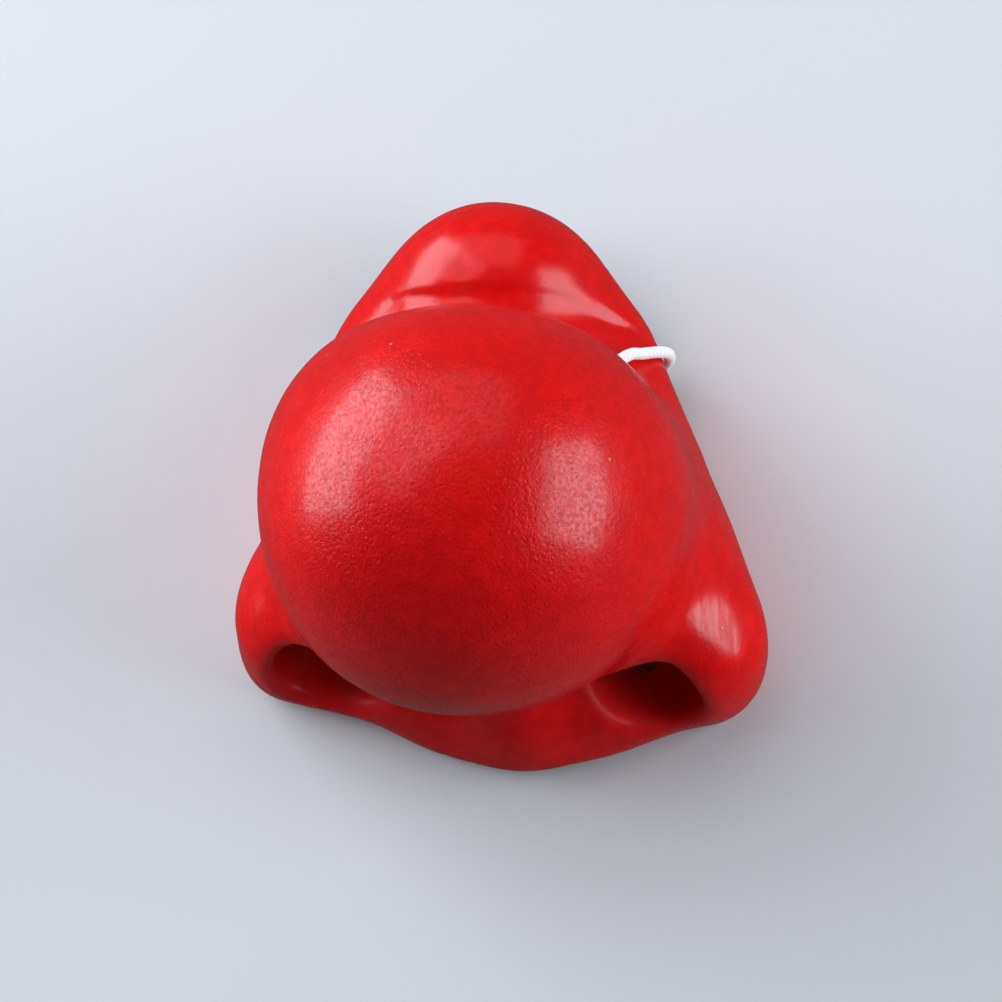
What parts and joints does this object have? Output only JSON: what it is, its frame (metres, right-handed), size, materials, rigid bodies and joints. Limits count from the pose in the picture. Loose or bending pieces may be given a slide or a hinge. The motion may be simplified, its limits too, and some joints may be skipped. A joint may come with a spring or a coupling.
{
  "type": "clown nose",
  "caption": "Hollow moulded rubber clown nose with a big ball tip, nostrils, a raised bridge and a thin elastic head cord.",
  "frame": {"origin": "middle of the footprint, on the surface that the rim rests on", "axes": "+Z away from the face through the ball tip, +Y up towards the bridge, +X to the viewer's right"},
  "size_m": [0.061, 0.0648, 0.0515],
  "materials": {
    "red_rubber": "satin",
    "white_elastic": "matte"
  },
  "bodies": {
    "root": {"nose_shell": "red_rubber", "elastic_cord": "white_elastic", "cord_knot_right": "white_elastic", "cord_knot_left": "white_elastic"}
  },
  "joints": []
}
